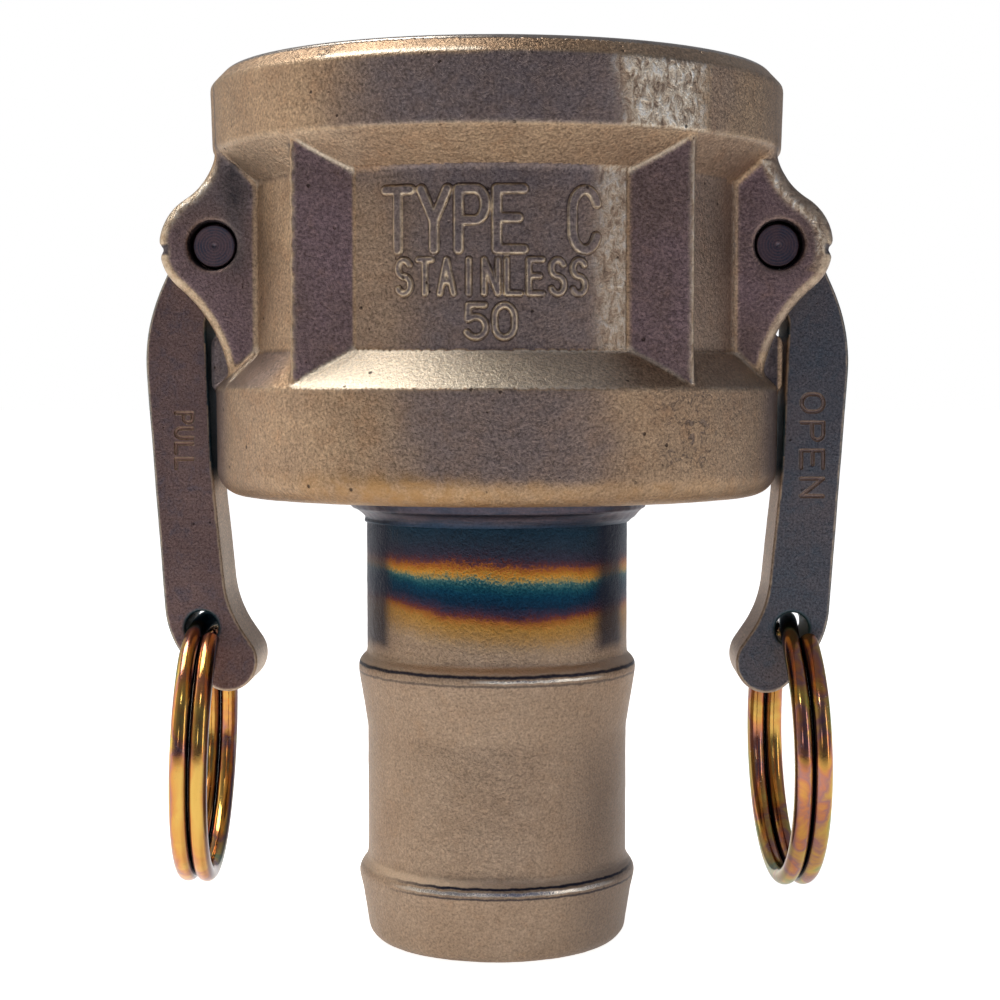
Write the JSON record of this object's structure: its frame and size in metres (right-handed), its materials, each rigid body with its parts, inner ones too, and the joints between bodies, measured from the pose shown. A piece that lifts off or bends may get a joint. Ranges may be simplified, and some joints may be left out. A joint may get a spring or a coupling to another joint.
{
  "type": "camlock coupling",
  "caption": "Female cam-and-groove coupler with two swinging cam arms on pins, split finger rings, a flat gasket and a welded barbed hose shank.",
  "frame": {"origin": "centre of the hose shank's lower end face, on the coupling's axis", "axes": "+Z along the coupling's axis, from the hose end to the mouth; +X to the arm on the viewer's right when the front pad faces the viewer; -Y out of the front pad"},
  "size_m": [0.1036, 0.0848, 0.1292],
  "materials": {
    "cast_stainless": "investment-cast stainless, fine pebbled skin",
    "turned_stainless": "satin turned stainless with heat tint under the weld",
    "weld_metal": "dark heat-tinted weld",
    "black_rubber": "matte black rubber",
    "arm_stainless": "cast stainless, fine matte skin",
    "pin_steel": "turned stainless pin end",
    "yellow_zinc": "iridescent yellow zinc plate"
  },
  "bodies": {
    "coupler": {"coupler_body": "cast_stainless", "hose_shank": "turned_stainless", "weld_bead": "weld_metal", "gasket": "black_rubber", "left_pivot_pin": "pin_steel", "right_pivot_pin": "pin_steel"},
    "left_arm": {"left_cam_arm": "arm_stainless"},
    "right_arm": {"right_cam_arm": "arm_stainless"},
    "left_ring": {"left_finger_ring": "yellow_zinc"},
    "right_ring": {"right_finger_ring": "yellow_zinc"}
  },
  "joints": [
    {"name": "left_arm_swing", "type": "hinge", "parent": "coupler", "child": "left_arm", "pos_m": [-0.04085, 0, 0.1035], "axis": [0, 1, 0], "range_deg": [0, 112]},
    {"name": "right_arm_swing", "type": "hinge", "parent": "coupler", "child": "right_arm", "pos_m": [0.04085, 0, 0.1035], "axis": [0, -1, 0], "range_deg": [0, 112]},
    {"name": "left_ring_swing", "type": "hinge", "parent": "left_arm", "child": "left_ring", "pos_m": [-0.04385, 0, 0.04725], "axis": [0, 1, 0], "range_deg": [-25, 150]},
    {"name": "right_ring_swing", "type": "hinge", "parent": "right_arm", "child": "right_ring", "pos_m": [0.04385, 0, 0.04725], "axis": [0, -1, 0], "range_deg": [-25, 150]}
  ]
}
